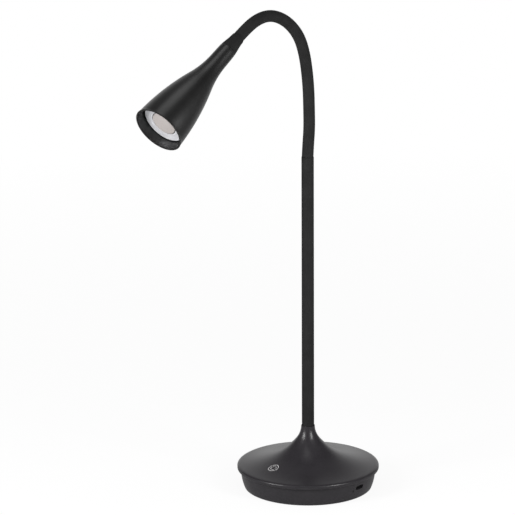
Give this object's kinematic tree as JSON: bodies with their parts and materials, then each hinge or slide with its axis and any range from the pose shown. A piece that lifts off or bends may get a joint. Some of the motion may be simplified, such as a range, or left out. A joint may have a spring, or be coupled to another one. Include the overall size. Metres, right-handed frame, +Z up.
{
  "type": "gooseneck desk lamp",
  "caption": "Cordless gooseneck desk lamp with a round trumpet-shaped base, straight stem, bendable neck and bell-shaped light head.",
  "frame": {"origin": "middle of the base's underside, on the table", "axes": "+Z up along the stem, -Y toward the light head, +X toward the charging socket"},
  "size_m": [0.15, 0.3261, 0.5328],
  "materials": {
    "satin_shell": "satin",
    "rubber": "matte",
    "steel": "satin",
    "board": "satin",
    "bright_metal": "polished",
    "black_plastic": "matte",
    "clear_plastic": "gloss",
    "battery": "satin",
    "copper": "satin",
    "soft_sleeve": "matte",
    "brass": "satin",
    "satin_head": "satin",
    "aluminium": "satin",
    "led": "satin",
    "bright_plastic": "polished",
    "silver": "satin",
    "frosted": "frosted",
    "hose": "satin"
  },
  "bodies": {
    "base": {"base_cover": "satin_shell", "base_tray": "satin_shell", "anti_slip_pad": "rubber", "ballast_plate": "steel", "control_board": "board", "charging_socket": "bright_metal", "socket_tongue": "black_plastic", "charge_light": "clear_plastic", "battery_pack": "battery", "touch_electrode": "copper", "stem_tube": "steel", "stem_sleeve": "soft_sleeve", "stem_washer": "steel", "stem_nut": "steel", "neck_coupling": "brass", "neck_link_1": "hose", "neck_sleeve_1": "soft_sleeve"},
    "neck_1": {"neck_link_2": "hose", "neck_sleeve_2": "soft_sleeve"},
    "neck_2": {"neck_link_3": "hose", "neck_sleeve_3": "soft_sleeve"},
    "neck_3": {"neck_link_4": "hose", "neck_sleeve_4": "soft_sleeve"},
    "neck_4": {"neck_link_5": "hose", "neck_sleeve_5": "soft_sleeve"},
    "head": {"neck_link_6": "hose", "hose_pin": "brass", "head_coupling": "brass", "neck_boot": "soft_sleeve", "shade": "satin_head", "shade_nut": "steel", "heat_sink": "aluminium", "led_board": "board", "led": "led", "reflector": "bright_plastic", "trim_ring": "silver", "lens": "frosted"}
  },
  "joints": [
    {"name": "neck_bend_1", "type": "hinge", "parent": "base", "child": "neck_1", "pos_m": [0, 0.00175, 0.40375], "axis": [1, 0, 0], "range_deg": [-40, 40], "deforming": ["neck_sleeve_1"]},
    {"name": "neck_swing_1", "type": "hinge", "parent": "neck_1", "child": "neck_2", "pos_m": [0, 0.00104, 0.44467], "axis": [0, 0.9928, 0.1201], "range_deg": [-40, 40], "deforming": ["neck_sleeve_2"]},
    {"name": "neck_bend_2", "type": "hinge", "parent": "neck_2", "child": "neck_3", "pos_m": [0, -0.00916, 0.48426], "axis": [1, 0, 0], "range_deg": [-60, 20], "deforming": ["neck_sleeve_3"]},
    {"name": "neck_swing_2", "type": "hinge", "parent": "neck_3", "child": "neck_4", "pos_m": [0, -0.034, 0.51622], "axis": [0, 0.592, 0.8059], "range_deg": [-40, 40], "deforming": ["neck_sleeve_4"]},
    {"name": "neck_bend_3", "type": "hinge", "parent": "neck_4", "child": "head", "pos_m": [0, -0.07271, 0.52649], "axis": [1, 0, 0], "range_deg": [-60, 15], "deforming": ["neck_sleeve_5"]}
  ]
}
